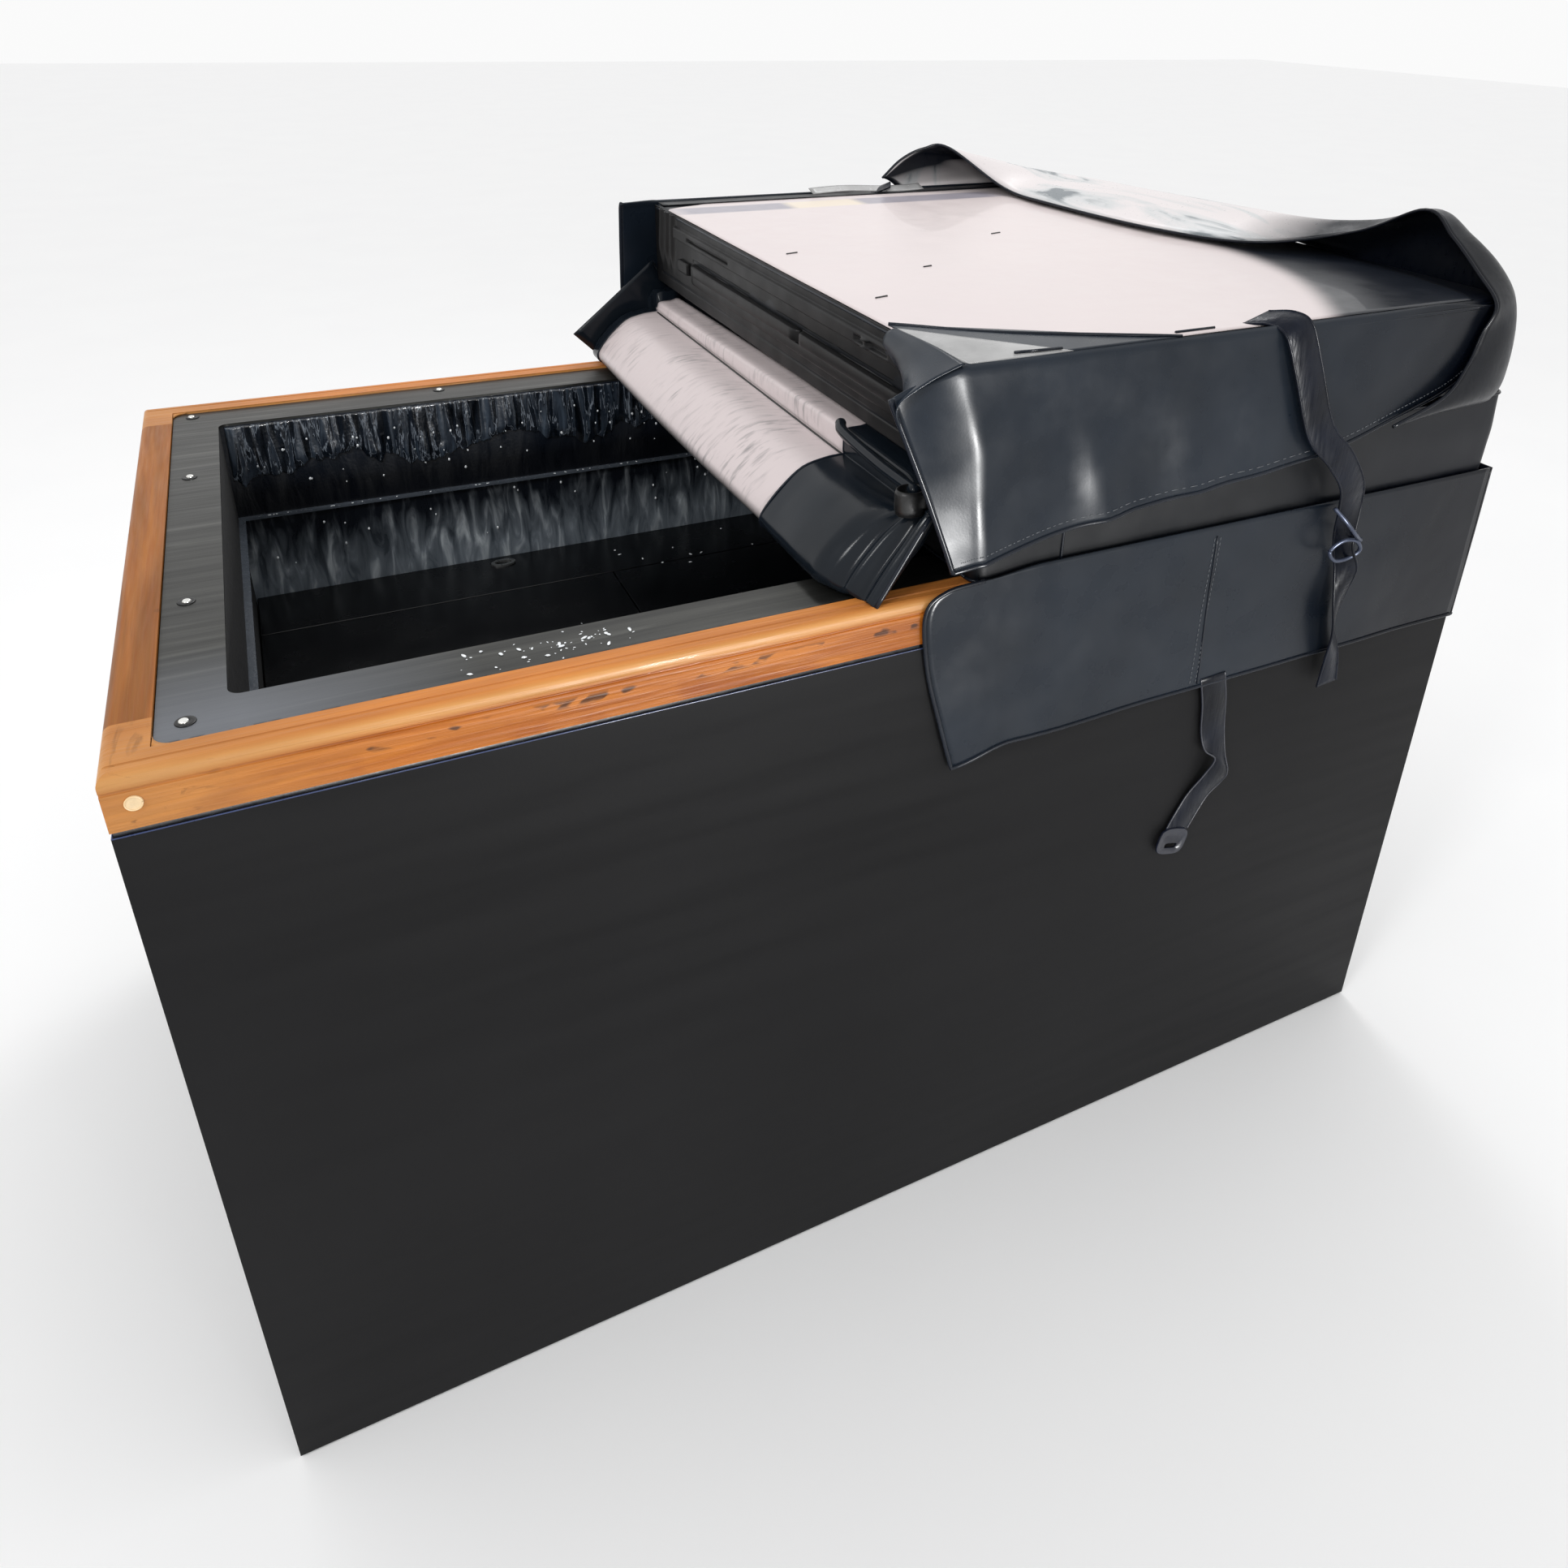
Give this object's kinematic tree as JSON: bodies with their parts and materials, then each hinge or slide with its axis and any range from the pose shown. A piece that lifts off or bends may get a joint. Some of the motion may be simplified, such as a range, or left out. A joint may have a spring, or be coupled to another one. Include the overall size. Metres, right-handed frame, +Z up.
{
  "type": "chest freezer",
  "caption": "Timber-trimmed dark chest freezer with a deep glossy tub and a two-part foam-filled vinyl cover, one half folded over the other, with hanging skirts and straps.",
  "frame": {"origin": "centre of the base, on the floor under the glide feet", "axes": "+X to the right along the length, -Y to the front, +Z up"},
  "size_m": [1.4395, 0.9554, 1.1221],
  "materials": {
    "panel": "satin",
    "pan": "satin",
    "foot": "matte",
    "timber": "satin",
    "timber_plug": "satin",
    "deck": "satin",
    "screw": "polished",
    "liner": "gloss",
    "floor": "gloss",
    "foam": "matte",
    "copper": "polished",
    "compressor": "gloss",
    "rubber": "matte",
    "trim_plastic": "satin",
    "knob_plastic": "satin",
    "rocker_plastic": "gloss",
    "drain_plastic": "satin",
    "vinyl": "gloss",
    "film": "satin",
    "white_vinyl": "satin",
    "webbing": "satin"
  },
  "bodies": {
    "cabinet": {"base_pan": "pan", "glide_feet": "foot", "front_panel": "panel", "back_panel": "panel", "left_panel": "panel", "right_panel": "panel", "rail_front": "timber", "rail_back": "timber", "rail_left": "timber", "rail_right": "timber", "rail_plugs": "timber_plug", "deck_plate": "deck", "deck_screws": "screw", "liner_back_wall": "liner", "liner_front_wall": "liner", "liner_left_wall": "liner", "liner_right_wall": "liner", "liner_floor": "liner", "liner_step": "liner", "liner_ledge": "liner", "floor_panel_back": "floor", "floor_panel_left": "floor", "floor_bearers": "liner", "finger_pull": "screw", "insulation_block": "foam", "evaporator_tube": "copper", "condenser_tube": "copper", "compressor": "compressor", "compressor_grommets": "rubber", "start_relay_cover": "trim_plastic", "refrigerant_pipes": "copper", "filter_drier": "copper", "vent_grille": "trim_plastic", "thermostat_housing": "trim_plastic", "switch_housing": "trim_plastic", "power_inlet": "trim_plastic", "drain_fitting": "drain_plastic"},
    "hatch": {"floor_hatch": "floor"},
    "knob": {"thermostat_knob": "knob_plastic"},
    "rocker": {"power_rocker": "rocker_plastic"},
    "plug": {"drain_plug": "drain_plastic"},
    "lid_base": {"lower_cover": "vinyl", "lower_film": "film", "lower_foam_core": "foam", "fold_hinge_strip": "vinyl", "hinge_bolster": "white_vinyl", "bolster_boots": "vinyl", "lower_skirt_front": "vinyl", "lower_skirt_back": "vinyl", "lower_skirt_end": "vinyl", "lower_straps": "webbing"},
    "lid_fold": {"upper_cover": "vinyl", "upper_film": "film", "upper_foam_core": "foam", "upper_end_channels": "trim_plastic"},
    "flap_front": {"upper_skirt_front": "vinyl", "upper_strap_front": "webbing"},
    "flap_back": {"upper_skirt_back": "vinyl", "upper_strap_back": "webbing"},
    "flap_end": {"upper_skirt_end": "vinyl"}
  },
  "joints": [
    {"name": "lid_lift", "type": "slide", "parent": "cabinet", "child": "lid_base", "axis": [0, 0, 1], "range_m": [0, 0.3]},
    {"name": "lid_fold", "type": "hinge", "parent": "lid_base", "child": "lid_fold", "pos_m": [-0.018, 0, 0.941], "axis": [0, -1, 0], "range_deg": [0, 180], "deforming": ["hinge_bolster", "bolster_boots"]},
    {"name": "flap_front_swing", "type": "hinge", "parent": "lid_fold", "child": "flap_front", "pos_m": [0, -0.4325, 1.046], "axis": [-1, 0, 0], "range_deg": [0, 170]},
    {"name": "flap_back_swing", "type": "hinge", "parent": "lid_fold", "child": "flap_back", "pos_m": [0, 0.4325, 1.046], "axis": [1, 0, 0], "range_deg": [0, 170]},
    {"name": "flap_end_unroll", "type": "hinge", "parent": "lid_fold", "child": "flap_end", "pos_m": [0.706, 0, 1.046], "axis": [0, 1, 0], "range_deg": [0, 82]},
    {"name": "hatch_lift", "type": "slide", "parent": "cabinet", "child": "hatch", "axis": [0, 0, 1], "range_m": [0, 0.2]},
    {"name": "knob_turn", "type": "hinge", "parent": "cabinet", "child": "knob", "pos_m": [0.705, 0.2, 0.23], "axis": [1, 0, 0], "range_deg": [0, 270]},
    {"name": "rocker_tip", "type": "hinge", "parent": "cabinet", "child": "rocker", "pos_m": [0.711, 0.31, 0.23], "axis": [0, 1, 0], "range_deg": [-10, 10]},
    {"name": "plug_pull", "type": "slide", "parent": "cabinet", "child": "plug", "axis": [-1, 0, 0], "range_m": [0, 0.03]}
  ],
  "couplings": [
    {"joint": "flap_front_swing", "follows": "lid_fold", "ratio": 0.94444},
    {"joint": "flap_back_swing", "follows": "lid_fold", "ratio": 0.94444},
    {"joint": "flap_end_unroll", "follows": "lid_fold", "ratio": 0.45556}
  ]
}
